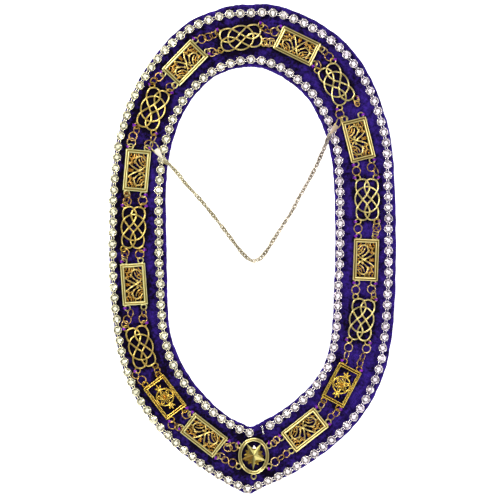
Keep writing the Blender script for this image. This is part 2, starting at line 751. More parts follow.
# %% Mouldings
Rim = namedtuple("Rim", "inset height tone")
SCROLL_RIM = (
    Rim(0.00, 0.10, 0.30), Rim(0.00, 1.90, 0.50), Rim(0.10, 2.20, 0.85), Rim(0.22, 2.30, 1.00),
    Rim(0.80, 2.30, 1.00), Rim(0.92, 2.12, 0.45), Rim(1.08, 1.80, 0.10), Rim(1.95, 1.80, 0.16),
    Rim(2.12, 2.12, 0.45), Rim(2.24, 2.30, 1.00), Rim(2.95, 2.32, 1.00), Rim(3.12, 2.20, 0.55),
    Rim(3.70, 1.25, 0.30), Rim(3.70, 0.10, 0.10),
)
EMBLEM_RIM = (
    Rim(0.00, 0.10, 0.30), Rim(0.00, 1.90, 0.35), Rim(0.10, 2.22, 0.80), Rim(0.22, 2.28, 0.95),
    Rim(0.72, 2.30, 0.90), Rim(0.82, 2.15, 0.30), Rim(0.95, 1.30, 0.00), Rim(2.10, 1.30, 0.00),
    Rim(2.22, 2.10, 0.40), Rim(2.34, 2.24, 0.85), Rim(2.90, 2.24, 0.80), Rim(3.10, 1.80, 0.30),
    Rim(3.10, 0.10, 0.10),
)
OVAL_RIM = (
    Rim(0.00, 0.10, 0.30), Rim(0.00, 1.70, 0.40), Rim(0.12, 2.15, 0.80), Rim(0.25, 2.30, 0.98),
    Rim(0.75, 2.30, 0.95), Rim(0.90, 2.10, 0.50), Rim(1.15, 1.75, 0.25), Rim(2.15, 1.75, 0.25),
    Rim(2.40, 2.10, 0.50), Rim(2.52, 2.30, 0.95), Rim(3.05, 2.30, 0.95), Rim(3.22, 2.10, 0.60),
    Rim(3.40, 1.40, 0.40), Rim(3.40, 0.10, 0.10),
)


ARC_POINTS = 4
SIDE_POINTS = 7
OVAL_POINTS = 56


def rounded_outline(half_x, half_y, radius):
    """Outline of a rectangle with round corners: four arcs and the points between them."""
    arcs = []
    for k, (side_x, side_y) in enumerate(((1, 1), (-1, 1), (-1, -1), (1, -1))):
        turns = math.radians(90 * k) + np.linspace(0, math.pi / 2, ARC_POINTS)
        centre = np.array([side_x * (half_x - radius), side_y * (half_y - radius)])
        arcs.append(centre + radius * np.stack([np.cos(turns), np.sin(turns)], -1))
    outline = []
    for here, after in zip(arcs, arcs[1:] + arcs[:1]):
        outline += [here, np.linspace(here[-1], after[0], SIDE_POINTS + 2)[1:-1]]
    return np.vstack(outline)


def moulding(rows, outline_at):
    """Carry a moulding round an outline that is asked for at each row's inset."""
    rings = [level(outline_at(row.inset), row.height) for row in rows]
    shape = grid(np.array(rings) * MM, round_u=True, round_v=True)
    tones = np.repeat([row.tone for row in rows], len(rings[0]))
    return shape._replace(tones=tones)


def plate_frame(rows, kind):
    """Rectangular frame with barely rounded corners."""
    half_x, half_y = CASTS[kind].length / 2, CASTS[kind].width / 2
    return moulding(rows, lambda inset: rounded_outline(
        half_x - inset, half_y - inset, max(0.5 - inset, 0.08)))


# %% Cast loops and beads
def cast_ears(kind, splay=0.0):
    """The four loops that the rings hook into, each on a short neck."""
    cast = CASTS[kind]
    loop = toned(torus(EAR_REACH * MM, EAR_WIRE * MM, 22, 8), 0.6)
    neck = tube(np.array(EAR_NECK) * MM, NECK_RADIUS * MM, 8)
    loops = []
    for end, side in ((1, 1), (1, -1), (-1, 1), (-1, -1)):
        way = math.degrees(math.atan2(side * math.sin(math.radians(splay)),
                                      end * math.cos(math.radians(splay))))
        lean = rng.uniform(-EAR_LEAN, EAR_LEAN)
        middle = at(end * cast.ear_along, side * cast.ear_across, EAR_HEIGHT, way, 0, lean)
        loops += [moved(loop, middle), moved(neck, middle)]
    return joined(loops)


def bead(x, y, z, radius, tone):
    """A small round boss, flattened a little."""
    turns = np.radians(np.linspace(-88, 88, 9))
    profile = np.stack([radius * np.cos(turns), 0.8 * radius * np.sin(turns)], -1) * MM
    return toned(moved(lathe(profile, 12), at(x, y, z)), tone)


# %% [markdown]
# ### Scroll plates
#
# Inside the frame a vine scroll is cast in openwork, with velvet showing between its
# stems. Half of it is a table of strokes from the middle out, and the other half is their
# mirror image along the chain. A stroke is a wire that thins towards its tip.

# %% Strokes of the openwork
Stroke = namedtuple("Stroke", "width rise tone points")
SCROLL_STROKES = (
    Stroke(1.60, 0.50, 0.95, ((0.4, -2.0), (0.9, -0.4), (2.2, 2.2), (3.8, 4.8), (6.4, 8.1))),
    Stroke(1.45, 0.40, 0.90, ((-0.4, -0.4), (0.6, -2.6), (1.8, -5.2), (3.8, -7.0), (4.2, -8.1))),
    Stroke(1.45, 0.45, 0.95, ((6.6, 2.6), (8.6, 1.9), (11.8, 1.1), (13.6, -1.4), (13.0, -4.4),
                              (10.8, -6.4), (8.8, -8.0))),
    Stroke(1.35, 0.40, 0.80, ((11.2, -1.2), (8.2, -2.2), (6.0, -4.2), (5.1, -6.2), (5.2, -8.1))),
    Stroke(1.45, 0.45, 0.85, ((9.6, 3.4), (7.4, 1.4), (5.2, -0.2), (3.4, -2.6))),
    Stroke(1.35, 0.25, 0.70, ((5.4, 8.1), (8.0, 5.6), (10.6, 5.8), (12.2, 8.1))),
    Stroke(1.40, 0.25, 0.75, ((15.9, 3.6), (14.0, 3.4), (12.0, 4.4), (11.0, 6.0))),
    Stroke(1.30, 0.20, 0.60, ((15.9, -5.0), (14.2, -5.4), (12.8, -6.6), (12.4, -8.1))),
    Stroke(1.20, 0.20, 0.60, ((8.4, 2.0), (7.4, 4.2), (7.6, 6.0))),
    Stroke(1.30, 0.25, 0.75, ((15.9, -0.6), (14.6, -0.6), (13.4, -2.2))),
    Stroke(1.20, 0.20, 0.60, ((0.8, 3.2), (0.5, 5.6), (1.0, 8.1))),
    Stroke(1.10, 0.20, 0.60, ((9.8, -7.0), (8.6, -5.0), (7.4, -3.4))),
    Stroke(1.10, 0.20, 0.55, ((15.9, 6.8), (14.2, 6.4), (13.0, 8.1))),
    Stroke(1.10, 0.20, 0.60, ((0.6, -8.1), (1.0, -6.4), (2.4, -5.4))),
    Stroke(1.05, 0.10, 0.60, ((15.9, 1.8), (13.2, 1.4), (11.4, 3.4), (9.8, 5.6))),
    Stroke(0.90, 0.15, 0.60, ((7.4, 8.1), (6.4, 5.6), (5.6, 4.4))),
    Stroke(1.05, 0.10, 0.60, ((7.4, -8.1), (7.8, -5.8), (10.4, -3.8), (13.4, -3.2))),
)
Bud = namedtuple("Bud", "x y radius tone")
BUDS = (
    Bud(3.1, -3.0, 1.35, 0.95), Bud(9.8, 5.8, 1.05, 0.55), Bud(13.4, -3.4, 1.05, 0.85),
    Bud(13.0, 4.4, 0.95, 0.35), Bud(5.8, -7.0, 0.80, 0.40), Bud(0.8, 6.4, 0.95, 0.45),
)


STROKE_HEIGHT = 1.0
BUD_HEIGHT = 1.4


def stroke_wire(stroke, end):
    """One stroke as a tapered wire, at one end of the plate or mirrored to the other."""
    flat = smooth_path(np.array(stroke.points) * (end, 1), 5, closed=False)
    run = np.linspace(0, 1, len(flat))
    height = STROKE_HEIGHT + stroke.rise * np.sin(math.pi * run)
    radius = stroke.width / 2 * (0.62 + 0.45 * np.sin(math.pi * np.clip(run * 1.15, 0, 1)))
    shape = tube(np.column_stack([flat, height]) * MM, radius * MM, 8, flatten=0.85)
    return toned(shape, stroke.tone)


def scroll_parts():
    """Parts of a scroll plate: gilt frame and loops, redder openwork and buds."""
    frame_part = [plate_frame(SCROLL_RIM, "scroll_plate"), cast_ears("scroll_plate")]
    openwork = [stroke_wire(stroke, end) for stroke in SCROLL_STROKES for end in (1, -1)]
    buds = [bead(bud.x * end, bud.y, BUD_HEIGHT, bud.radius, bud.tone)
            for bud in BUDS for end in (1, -1)]
    return [Part(joined(frame_part), FRAME_GILT, True),
            Part(joined(openwork + buds), FILIGREE, True)]


# %% [markdown]
# ### Rosette plates
#
# Two plates are plainer. Their long sides carry a twisted cord between two rims, and inside
# them a ring touches both long sides and holds a rosette of six petals round a hub. A spray
# of three leaves grows from the ring towards each short side.

# %% Rosette plates
ROSETTE_PETALS = 6
PETAL_OUTLINE = ((1.6, 0.0), (3.0, 1.25), (4.8, 1.55), (6.3, 0.8), (7.4, 0.0),
                 (6.3, -0.8), (4.8, -1.55), (3.0, -1.25))
PETAL_HEIGHT = 1.15
PETAL_RIB = ((2.0, 0, 1.1), (3.8, 0, 1.3), (5.6, 0, 1.1))
CORD_BENDS = ((-0.50, -0.36, 0), (0, 0, 0.30), (0.50, 0.36, 0))
CORD_PITCH = 1.42
CORD_HEIGHT = 1.75
CORD_INSET = 1.55
RING_REACH = 7.95
LEAF_START = 8.6
LEAF_REACH = {-1: 4.2, 0: 5.2, 1: 4.2}


def twisted_cord(length, across):
    """Slanting strands side by side along one edge of a plate."""
    strand = toned(tube(np.array(CORD_BENDS) * MM, 0.40 * MM, 6), 0.75)
    places = np.arange(-length / 2 + 1.8, length / 2 - 1.4, CORD_PITCH)
    return copies(strand, [at(x, across, CORD_HEIGHT) for x in places])


def leaf_sprays():
    """Three slim leaves beyond each end of the ring, from one short stem."""
    sprays = []
    for end in (1, -1):
        for side, reach in LEAF_REACH.items():
            run = np.linspace(0, 1, 7)
            path = np.stack([end * (LEAF_START + reach * run * (1 - 0.25 * abs(side))),
                             side * 3.4 * run ** 0.8, 1.2 + 0.3 * np.sin(math.pi * run)], -1)
            radius = (0.35 + 0.75 * np.sin(math.pi * run ** 0.8)) * MM
            sprays.append(toned(tube(path * MM, radius, 8, flatten=0.7), 0.75))
    return sprays


def rosette_parts():
    """Parts of a rosette plate: frame, loops, cords, ring, petals and sprays, and the hub."""
    cast = CASTS["emblem_plate"]
    frame_part = [plate_frame(EMBLEM_RIM, "emblem_plate"), cast_ears("emblem_plate")]
    cords = [twisted_cord(cast.length, side * (cast.width / 2 - CORD_INSET)) for side in (1, -1)]
    inner = [moved(torus(RING_REACH * MM, 1.75 * MM, 48, 10), at(0, 0, 1.15))]
    petal = smooth_path(PETAL_OUTLINE, 3, closed=True)
    wave = np.sin(np.linspace(0, 2 * math.pi, len(petal)))
    petal = np.column_stack([petal, PETAL_HEIGHT + 0.35 * wave])
    petal_wire = tube(petal * MM, 0.52 * MM, 8, closed=True)
    rib = tube(np.array(PETAL_RIB) * MM, np.array([0.42, 0.36, 0.2]) * MM, 8)
    for k in range(ROSETTE_PETALS):
        turn = at(0, 0, 0, k * 360 / ROSETTE_PETALS)
        inner += [moved(petal_wire, turn), moved(rib, turn)]
    inner = [toned(shape, 0.8) for shape in inner] + leaf_sprays()
    return [Part(joined(frame_part + cords + inner), DEEP_GILT, True),
            Part(bead(0, 0, 1.5, 2.1, 0.45), FILIGREE, True)]


# %% [markdown]
# ### Star medallion
#
# The medallion at the point is an oval with a five-pointed star. Each ray has a ridge from
# the star's middle to its tip, so the star is ten flat facets. Their tones are dark on one
# flank and bright on the other. Behind the star lies a browner boss with saw teeth, and a
# white fleck shows between two of its rays.

# %% Star medallion
StarPoint = namedtuple("StarPoint", "x y height")
STAR_OUTLINE = (
    StarPoint(0.6, 13.6, 1.4), StarPoint(2.6, 4.6, 1.1), StarPoint(11.4, 3.6, 1.4),
    StarPoint(4.4, -1.4, 1.1), StarPoint(6.6, -11.4, 1.4), StarPoint(-0.4, -5.6, 1.1),
    StarPoint(-6.8, -11.2, 1.4), StarPoint(-4.6, -1.6, 1.1), StarPoint(-11.0, 4.4, 1.4),
    StarPoint(-2.2, 4.8, 1.1),
)
STAR_PEAK = (-0.2, -0.6, 2.3)
STAR_BASE = (0, 0, 0.5)
STAR_TONES = (0.24, 0.02, 0.06, 0.20, 0.66, 0.62, 0.70, 0.62, 0.52, 0.76)


def star_form():
    """Ridged star: facets from the raised middle to each stretch of the outline."""
    rim = np.array(STAR_OUTLINE)
    count = len(rim)
    points = np.vstack([rim, rim * (1, 1, 0) + STAR_BASE, [STAR_PEAK, STAR_BASE]])
    here = np.arange(count)
    follows = (here + 1) % count
    top = np.stack([np.full(count, 2 * count), here, follows], -1)
    base = np.stack([np.full(count, 2 * count + 1), count + follows, count + here], -1)
    sides = np.stack([here, count + here, count + follows, follows], -1)
    tones = np.concatenate([np.full(count, 0.4), STAR_TONES, np.full(count, 0.2)])
    return form(points * MM, sides, np.vstack([top, base]), tones)


BOSS_REACH = 9.2
TOOTH = (0, 1, 1, 0.1)
TOOTH_DEPTH = 1.7
BOSS_TEETH = 12
BOSS_SECTIONS = ((0.3, 1.0), (1.25, 1.0), (1.5, 0.88), (1.1, 0.3))
JEWEL_LOOP_ALONG = 19.4
FLECK_PROFILE = ((0.02, 0.4), (2.1, 0.6), (1.9, 1.8), (0.02, 2.2))
EAR_SPLAY = 34


def toothed_boss():
    """Flat boss with saw teeth: a height and a share of the outline for each section."""
    reach = BOSS_REACH - TOOTH_DEPTH * np.tile(TOOTH, BOSS_TEETH)
    outline = circle(len(reach)) * reach[:, None]
    stack = [level(outline * share, height) for height, share in BOSS_SECTIONS]
    return toned(capped(np.array(stack) * MM), 0.22)


def medallion_parts():
    """Parts of the medallion: rim, ears and jewel loop, star, boss, and a white fleck."""
    half = np.array(CASTS["medallion"][:2]) / 2
    rim = moulding(OVAL_RIM, lambda inset: circle(OVAL_POINTS) * (half - inset))
    loop = moved(torus(EAR_REACH * MM, 1.5 * MM, 24, 8, 0.9), at(0, JEWEL_LOOP_ALONG, 0.9))
    fleck = lathe(np.array(FLECK_PROFILE) * MM, 3)
    fleck = toned(moved(fleck, at(-0.4, -8.0, 0, -90)), 1.5)
    return [
        Part(joined([rim, cast_ears("medallion", EAR_SPLAY), loop]), FRAME_GILT, True),
        Part(star_form(), STAR_GILT, False),
        Part(toothed_boss(), GILT, False),
        Part(fleck, STONE, False),
    ]


# %% [markdown]
# ### Knots
#
# A knot is two looped wires that mirror each other, woven over and under one another and
# through an oval ring, all brazed at the crossings. The bends table gives one wire's way and
# its level at each bend: +1 over, -1 under.

# %% Knots
Bend = namedtuple("Bend", "along across level")
KNOT_BENDS = (
    Bend(0.36, -0.77, 1), Bend(0.00, -0.33, -1), Bend(-0.24, 0.00, 1), Bend(-0.57, 0.20, -1),
    Bend(-0.87, 0.00, 1), Bend(-0.96, -0.35, 0), Bend(-0.87, -0.74, 0), Bend(-0.63, -0.87, 0),
    Bend(-0.36, -0.77, -1), Bend(0.00, -0.33, 1), Bend(0.24, 0.00, -1), Bend(0.57, 0.20, 1),
    Bend(0.87, 0.00, -1), Bend(0.96, -0.35, 0), Bend(0.87, -0.74, 0), Bend(0.63, -0.87, 0),
)
KNOT_RISE = 0.55
KNOT_MIDDLE = (0, 0, 1.45)
LOOP_WIRE = 1.72
OVAL_WIRE = 1.60
KNOT_RING = Bend(0.60, 0.94, 0)
RING_CROSSINGS = (0, 3, 8, 11)
OVAL_SECTIONS = 72


def knot_parts():
    """Parts of a knot: two woven loops, the ring, and the ears."""
    cast = CASTS["knot"]
    half = np.array([(cast.length - OVAL_WIRE) / 2, (cast.width - OVAL_WIRE) / 2, KNOT_RISE])
    bends = np.array(KNOT_BENDS, float)
    wires = []
    for side in (1, -1):
        path = smooth_path(bends * (1, side, side), 6, closed=True) * half + KNOT_MIDDLE
        wires.append(tube(path * MM, LOOP_WIRE / 2 * MM, 10, closed=True))
    crossings = []
    for row in RING_CROSSINGS:
        bend = KNOT_BENDS[row]
        for side in (1, -1):
            turn = math.atan2(side * bend.across / KNOT_RING.across, bend.along / KNOT_RING.along)
            crossings.append((turn % (2 * math.pi), -side * bend.level))
    crossings.sort()
    where = [turn for turn, _ in crossings]
    turns = np.arange(OVAL_SECTIONS) * 2 * math.pi / OVAL_SECTIONS
    levels = np.interp(turns, where, [rise for _, rise in crossings], period=2 * math.pi)
    oval = level(circle(OVAL_SECTIONS) * KNOT_RING[:2], levels)
    wires.append(tube((oval * half + KNOT_MIDDLE) * MM, OVAL_WIRE / 2 * MM, 10, closed=True))
    shape = joined(wires)
    heights = shape.points[shape.quads, 2].mean(axis=1) / MM
    tones = np.clip(0.25 + 0.30 * heights, 0.1, 0.95)
    return [Part(shape._replace(tones=tones), GILT, True),
            Part(cast_ears("knot"), GILT, True)]


# %% All castings in their places
CASTING_PARTS = {
    "knot": knot_parts,
    "scroll_plate": scroll_parts,
    "emblem_plate": rosette_parts,
    "medallion": medallion_parts,
}
PLAIN_NAMES = {"knot": "knot", "scroll_plate": "scroll_plate", "emblem_plate": "rosette_plate",
               "medallion": "star_medallion"}
for number, place in enumerate(ORNAMENTS, start=1):
    parts = [part._replace(form=moved(part.form, seat(place)))
             for part in CASTING_PARTS[place.kind]()]
    piece(f"casting_{number:02d}_{PLAIN_NAMES[place.kind]}", parts,
          [f"ornament_{number:02d}_{place.kind}"])


# %% [markdown]
# ### Pressed pile
#
# The castings have lain on the velvet for years, and the pile under them and close round
# them is pressed flat and dark. How far it is pressed falls away with the distance from the
# nearest casting's oblong.

# %% Pressed pile
HALF_OBLONG = {"knot": (20.9, 12.8), "scroll_plate": (19.6, 11.8), "emblem_plate": (18.3, 11.8),
               "medallion": (14.6, 17.2)}
PRESS_FADE = 1.8


def press_pile(cover):
    """Store on each point: e to the minus square of its distance from a casting's oblong."""
    points = np.zeros(len(cover.data.vertices) * 3, np.float32)
    cover.data.vertices.foreach_get("co", points)
    points = points.reshape(-1, 3).astype(float)
    pressed = np.zeros(len(points))
    for place in ORNAMENTS:
        matrix = seat(place)
        inside = (points - matrix[:3, 3]) @ matrix[:3, :3]
        beyond = np.abs(inside[:, :2]) - np.array(HALF_OBLONG[place.kind]) * MM
        distance = np.linalg.norm(np.maximum(beyond, 0), axis=1)
        pressed = np.maximum(pressed, np.exp(-(distance / (PRESS_FADE * MM)) ** 2))
    store(cover, "pressed", pressed)
    print("pressed share of the velvet", round(float(pressed.mean()), 2))


press_pile(band)

# %% [markdown]
# ## Jump rings
#
# Short runs of wire rings link each casting's ears to the next one's, outside and inside.
# Each ring lies at a share of the way from ear to ear, swayed to the outside by so many
# millimetres, and leans left or right in turn so that it passes through its neighbours. A
# ring marked upright stands nearly on edge.

# %% Ring table
Ring = namedtuple("Ring", "way sway reach upright", defaults=(4.5, False))
RING_STRANDS = {
    (1, "outer"): (Ring(.17, -2.2, upright=True), Ring(.44, -4.8, upright=True), Ring(.77, -3.9)),
    (1, "inner"): (Ring(.23, 1.3), Ring(.55, .4), Ring(.81, 1.0)),
    (2, "outer"): (Ring(.22, 0, upright=True), Ring(.65, 0, 4.7)),
    (2, "inner"): (Ring(.40, 2.5, upright=True),),
    (3, "outer"): (Ring(.11, 0, upright=True), Ring(.33, 0, 2.9)),
    (3, "inner"): (Ring(.46, -2.4), Ring(.96, -1.2, 3.8)),
    (4, "outer"): (Ring(.37, -2.2), Ring(.68, 1.0, upright=True)),
    (4, "inner"): (Ring(.50, -.3),),
    (5, "outer"): (Ring(.15, 0, upright=True), Ring(.42, .8), Ring(.76, 0, upright=True)),
    (5, "inner"): (Ring(.48, -.4),),
    (6, "outer"): (Ring(.36, -2.0), Ring(.71, -.3, upright=True)),
    (6, "inner"): (Ring(.52, -.5),),
    (7, "outer"): (Ring(.22, .6), Ring(.55, -.7, upright=True), Ring(.76, -1.1, upright=True)),
    (7, "inner"): (Ring(.34, .7), Ring(.68, .4, upright=True)),
    (8, "outer"): (Ring(.28, .9, upright=True), Ring(.66, -.9, 3.8)),
    (8, "inner"): (Ring(.45, .1, upright=True),),
    (9, "outer"): (Ring(.22, -.2, 3.8), Ring(.46, -.6, upright=True), Ring(.72, -.2)),
    (9, "inner"): (Ring(.35, -.7, 3.8), Ring(.65, .6, 3.8)),
    (10, "outer"): (Ring(.28, -.5), Ring(.63, 0, 3.8), Ring(.86, -2.0, upright=True)),
    (10, "inner"): (Ring(.36, 2.1), Ring(.87, 4.0)),
    (11, "outer"): (Ring(.17, 1.1, upright=True), Ring(.67, 3.7)),
    (11, "inner"): (Ring(.48, 2.5),),
    (12, "outer"): (Ring(.34, .8), Ring(.81, 3.9, 3.8)),
    (12, "inner"): (Ring(.50, -.5, upright=True),),
    (13, "outer"): (Ring(.19, 1.4, 3.8), Ring(.43, -.5), Ring(.76, -3.3, upright=True)),
    (13, "inner"): (Ring(.29, 1.0), Ring(.65, -.2, upright=True)),
    (14, "outer"): (Ring(.36, -.9, upright=True), Ring(.68, -1.4)),
    (14, "inner"): (Ring(.55, 1.5, 4.7),),
    (15, "outer"): (Ring(.33, -1.6), Ring(.60, -1.2, upright=True), Ring(.86, -.9, 3.3)),
    (15, "inner"): (Ring(.47, .5, 4.7),),
    (16, "outer"): (Ring(.19, .4, 4.7), Ring(.49, .5, 4.7), Ring(.82, -1.3, upright=True)),
    (16, "inner"): (Ring(.24, -.1), Ring(.71, -1.8, upright=True)),
    (17, "outer"): (Ring(.26, 1.4, upright=True), Ring(.69, .6, 4.7)),
    (17, "inner"): (Ring(.47, 2.2),),
    (18, "outer"): (Ring(.27, -1.0), Ring(.56, -1.2), Ring(.80, -1.5, upright=True)),
    (18, "inner"): (Ring(.35, -.9), Ring(.71, -1.5, upright=True)),
}
RING_WIRE = 1.15
LEAN = 20
UPRIGHT_LEAN = 55
RING_FLOOR = 2.75
RING_TONES = (0.35, 0.65)


# %% Rings in their places
def ear_point(number, end, side):
    """World place of the middle of an ear: end +1 leads on, side +1 is outside."""
    place = ORNAMENTS[number % len(ORNAMENTS)]
    cast = CASTS[place.kind]
    inside = np.array([end * cast.ear_along, side * cast.ear_across, EAR_HEIGHT]) * MM
    matrix = seat(place)
    return matrix[:3, :3] @ inside + matrix[:3, 3]


def ring_places(number, word):
    """Matrix and radius of each ring between two castings, on one side."""
    side = 1 if word == "outer" else -1
    start, end = ear_point(number - 1, 1, side), ear_point(number, -1, side)
    run = end - start
    heading = math.atan2(run[1], run[0])
    outside = np.array([-math.sin(heading), math.cos(heading), 0])
    places = []
    for k, ring in enumerate(RING_STRANDS[number, word]):
        lean = math.radians(UPRIGHT_LEAN if ring.upright else LEAN) * (1, -1)[k % 2]
        centre = start + ring.way * run + ring.sway * MM * outside
        rise = (ring.reach - RING_WIRE / 2) * abs(math.sin(lean)) + RING_WIRE / 2 + RING_FLOOR
        centre[2] = rise * MM
        places.append((placing(centre, heading, 0.0, lean), ring.reach))
    return places


def ring_strands():
    """One piece for each strand, standing for the model's plain tube."""
    for number, word in RING_STRANDS:
        rings = []
        for matrix, reach in ring_places(number, word):
            ring = torus((reach - RING_WIRE / 2) * MM, RING_WIRE * MM, 24, 8)
            rings.append(toned(moved(ring, matrix), rng.uniform(*RING_TONES)))
        piece(f"rings_{number:02d}_{word}", [Part(joined(rings), ROSE, True)],
              [f"strand_{number:02d}_{word}"])


ring_strands()


# %% [markdown]
# ## Strings of rhinestones
#
# Each stone sits in a cup with four claws, and two thin bars join a cup to the next. A stone
# is cut as a brilliant: an eight-sided table, eight stars and eight kites round it, and
# sixteen facets down to the girdle.

# %% One stone in its cup
STONE_REACH = 3.62
STAR_REACH = 2.70
TABLE_REACH = 1.75
GIRDLE = 7.0
TABLE = 8.35
CUP_PROFILE = ((2.4, 3.30), (3.0, 3.45), (3.5, 4.6), (3.85, 6.6), (3.98, 7.10), (3.85, 7.3),
               (3.62, 7.05), (3.5, 6.5), (2.0, 5.4))
CUP_TONES = (0.2, 0.4, 0.7, 0.9, 1.0, 1.0, 0.5, 0.2)
CUP_SIDES = 20
CLAW_BENDS = ((3.95, 0, 6.2), (3.9, 0, 7.2), (3.15, 0, 7.75))


def brilliant():
    """Cut stone about its own middle: rings of table, star and girdle points."""
    middle = GIRDLE + 0.55 * (TABLE - GIRDLE)
    points = np.vstack([level(TABLE_REACH * circle(8), TABLE),
                        level(STAR_REACH * circle(16)[1::2], middle),
                        level(STONE_REACH * circle(16), GIRDLE),
                        [[0, 0, TABLE], [0, 0, GIRDLE - 1.2]]])
    faces, tones = [], []
    for k in range(8):
        after, before = (k + 1) % 8, (k - 1) % 8
        low, mid, high = 16 + 2 * k, 16 + 2 * k + 1, 16 + (2 * k + 2) % 16
        faces += [(32, k, after), (k, 8 + k, after), (k, 8 + before, low), (k, low, 8 + k),
                  (8 + k, low, mid), (8 + k, mid, high), (33, mid, low), (33, high, mid)]
        kite = (0.25, 0.75, 0.35, 0.9)[k % 4]
        tones += [1.0, 0.55 + 0.3 * (k % 2), kite, kite, 0.30, 0.75, 0.3, 0.3]
    return form(points * MM, None, faces, tones)


def stone_cup():
    """Turned cup, open at the top, with four claws bent over the stone."""
    cup = lathe(np.array(CUP_PROFILE) * MM, CUP_SIDES)
    rows = np.repeat(CUP_TONES, CUP_SIDES)
    cup = cup._replace(tones=np.concatenate([rows, np.full(2 * CUP_SIDES, 0.2)]))
    claw = toned(tube(np.array(CLAW_BENDS) * MM, np.array([0.55, 0.5, 0.32]) * MM, 6), 0.9)
    return joined([cup] + [moved(claw, at(0, 0, 0, turn)) for turn in (45, 135, 225, 315)])


BRILLIANT = brilliant()
CUP_FORM = stone_cup()


# %% Stones spaced along a line
def run_along(line):
    """Distance along a line to each of its points."""
    return np.concatenate([[0], np.cumsum(np.linalg.norm(np.diff(line, axis=0), axis=1))])


def points_at(distances, line):
    """Points of a line at distances along it."""
    run = run_along(line)
    return np.stack([np.interp(distances, run, column) for column in line.T], -1)


def nearest(line, place):
    """Number of the line's point that is nearest a place given in millimetres."""
    return int(np.argmin(np.linalg.norm(line - np.array(place) * MM, axis=1)))


STONE_TONES = 0.08
CUP_TONE_SHARE = 0.6
STONE_SWAY = 0.14
STONE_LEAN = 3.5
TIPPED_LEAN = 48.0
PIVOT_HEIGHT = 5.4
BAR_HEIGHT = 5.2
BAR_START = 3.2


def stone_string(name, node, places, whole, tipped=None):
    """Stones, cups and joining bars at a row of places, each cup swayed and leant a little."""
    ahead = np.roll(places, -1, axis=0) - places
    if not whole:
        ahead[-1] = ahead[-2]
    headings = np.arctan2(ahead[:, 1], ahead[:, 0])
    matrices = []
    for k, (place, heading) in enumerate(zip(places, headings)):
        sway = rng.normal(0, STONE_SWAY, 2) * MM
        lean = rng.normal(0, STONE_LEAN, 2)
        if k == tipped:
            lean = np.array([TIPPED_LEAN, 0.0])
        turn = heading + rng.uniform(-0.5, 0.5)
        pivot = placing((0, 0, PIVOT_HEIGHT * MM), turn, math.radians(lean[1]),
                        math.radians(lean[0]))
        down = placing((0, 0, -PIVOT_HEIGHT * MM))
        matrices.append(placing((*(place + sway), 0)) @ pivot @ down)
    tones = rng.normal(0, STONE_TONES, len(places))
    bars = []
    pairs = zip(places, np.roll(places, -1, axis=0)) if whole else zip(places, places[1:])
    for here, after in pairs:
        way = (after - here) / np.linalg.norm(after - here)
        across = np.array([-way[1], way[0]]) * MM
        for side in (1, -1):
            start, end = here + BAR_START * MM * way, after - BAR_START * MM * way
            ends = np.array([start, end]) + side * across
            bars.append(tube(np.column_stack([ends, [BAR_HEIGHT * MM] * 2]), 0.48 * MM, 6))
    parts = [
        Part(copies(CUP_FORM, matrices, tones * CUP_TONE_SHARE), CUP, True),
        Part(copies(BRILLIANT, matrices, tones), STONE, False),
        Part(toned(joined(bars), 1.0), CUP, True),
    ]
    piece(name, parts, [node])


OUTER_STONES = 113
INNER_STONES = 87
TIPPED_PLACE = (111.0, -132.2)
INNER_START = (-3.1, -173.1)
INNER_END = (16.6, -167.2)
outer_loop = np.vstack([outer_line, outer_line[:1]])
outer_run = run_along(outer_loop)
outer_places = points_at(np.linspace(0, outer_run[-1], OUTER_STONES + 1)[:-1], outer_loop)
stone_string("outer_rhinestones", "outer_trim", outer_places, True,
             nearest(outer_places, TIPPED_PLACE))
inner_loop = np.vstack([inner_line, inner_line[:1]])
inner_run = run_along(inner_loop)
inner_start = inner_run[nearest(inner_line, INNER_START)]
inner_end = inner_run[nearest(inner_line, INNER_END)] + inner_run[-1]
inner_steps = np.linspace(inner_start, inner_end, INNER_STONES) % inner_run[-1]
stone_string("inner_rhinestones", "inner_trim", points_at(inner_steps, inner_loop), False)


# %% [markdown]
# ## The small chain and its clips
#
# Interlocking oval links, turned about their run by 45 degrees one way and the other, hang in
# a V across the opening. At each end a folded tab of bright metal lies on the inner stones.

# %% Small chain
RoutePoint = namedtuple("RoutePoint", "across along lift")
SAFETY_CHAIN_ROUTE = [RoutePoint(*row) for row in (
    (-0.313, 0.182, 1.00), (-0.301, 0.177, 0.84), (-0.290, 0.172, 0.45), (-0.277, 0.164, 0.11),
    (-0.260, 0.153, 0.0), (-0.232, 0.132, 0.0), (-0.188, 0.104, 0.0), (-0.151, 0.078, 0.0),
    (-0.108, 0.046, 0.0), (-0.059, 0.008, 0.0), (-0.029, -0.013, 0.0), (-0.001, -0.024, 0.0),
    (0.026, -0.019, 0.0), (0.050, -0.002, 0.0), (0.082, 0.028, 0.0), (0.132, 0.073, 0.0),
    (0.161, 0.105, 0.0), (0.194, 0.139, 0.0), (0.221, 0.169, 0.0), (0.236, 0.189, 0.0),
    (0.245, 0.201, 0.03), (0.251, 0.209, 0.16), (0.256, 0.217, 0.48), (0.261, 0.225, 0.84),
    (0.266, 0.231, 1.00),
)]
LINK_LENGTH = 6.4
LINK_WIDTH = 4.9
LINK_WIRE = 1.5
LINK_PITCH = 3.4
LINK_TURN = 45
LINK_LEAN = 16
LINK_TONES = 0.35
CHAIN_FLOOR = 2.2
CHAIN_TOP = 10.9


